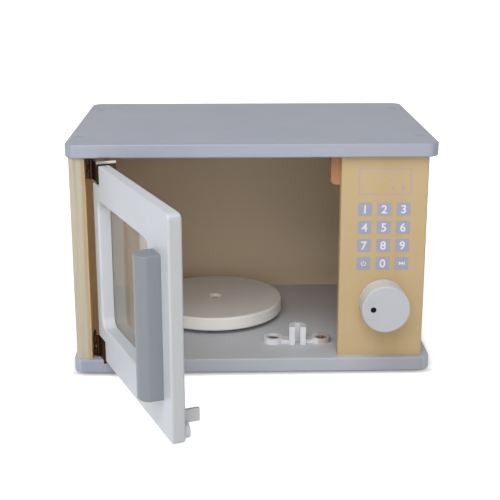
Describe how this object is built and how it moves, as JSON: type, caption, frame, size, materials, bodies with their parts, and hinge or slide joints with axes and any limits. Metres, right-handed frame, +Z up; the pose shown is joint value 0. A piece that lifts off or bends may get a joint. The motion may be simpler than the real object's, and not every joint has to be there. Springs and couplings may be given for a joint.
{
  "type": "toy microwave",
  "caption": "Wooden toy microwave oven with grey painted top and base, natural wood sides, a hinged door with a clear window, a turntable and a turning knob.",
  "frame": {"origin": "centre of the base board's underside", "axes": "+X towards the control panel on the right, -Y out of the front towards the player, +Z up"},
  "size_m": [0.302, 0.3789, 0.1955],
  "materials": {
    "grey_paint": "satin grey paint over wood",
    "plug_filler": "satin grey paint over wooden plugs",
    "bare_pine": "bare sanded pine under clear matt varnish",
    "plywood": "thin clear varnish",
    "red_wood": "bare reddish hardwood",
    "white_paint": "satin white paint over wood",
    "clear_sheet": "clear polished acrylic",
    "white_plastic": "moulded, semi gloss",
    "nickel": "nickel plate",
    "zinc_screws": "zinc plate",
    "beech_dowel": "bare beech",
    "black_plug": "matt"
  },
  "bodies": {
    "cabinet": {"top_board": "grey_paint", "bottom_board": "grey_paint", "top_board_plugs": "plug_filler", "left_side_panel": "bare_pine", "right_side_panel": "bare_pine", "control_panel": "bare_pine", "back_panel": "plywood", "upper_corner_block": "red_wood", "lower_corner_block": "red_wood", "catch_clip": "white_plastic", "lower_hinge_wall_leaf": "nickel", "upper_hinge_wall_leaf": "nickel", "lower_hinge_pin": "nickel", "upper_hinge_pin": "nickel", "top_board_screws": "zinc_screws", "bottom_board_screws": "zinc_screws", "back_panel_screws": "zinc_screws", "hinge_wall_screws": "zinc_screws", "catch_screws": "zinc_screws", "turntable_screw": "zinc_screws", "turntable_spacer": "beech_dowel"},
    "door": {"door_frame": "white_paint", "door_window": "clear_sheet", "window_screws": "zinc_screws", "door_handle": "grey_paint", "handle_screws": "zinc_screws", "catch_striker": "white_plastic", "striker_screws": "zinc_screws", "lower_hinge_door_leaf": "nickel", "upper_hinge_door_leaf": "nickel", "hinge_door_screws": "zinc_screws"},
    "turntable": {"turntable": "white_paint"},
    "knob": {"knob": "white_paint", "knob_marker": "black_plug", "knob_shaft": "beech_dowel", "knob_retainer": "beech_dowel", "knob_retainer_screw": "zinc_screws"}
  },
  "joints": [
    {"name": "door_hinge", "type": "hinge", "parent": "cabinet", "child": "door", "pos_m": [-0.13035, -0.09833, 0.09705], "axis": [0, 0, -1], "range_deg": [-68, 42]},
    {"name": "turntable_spin", "type": "hinge", "parent": "cabinet", "child": "turntable", "pos_m": [-0.0324, 0.0105, 0.0215], "axis": [0, 0, 1], "continuous": true},
    {"name": "knob_turn", "type": "hinge", "parent": "cabinet", "child": "knob", "pos_m": [0.1097, -0.1005, 0.0592], "axis": [0, -1, 0], "continuous": true}
  ]
}
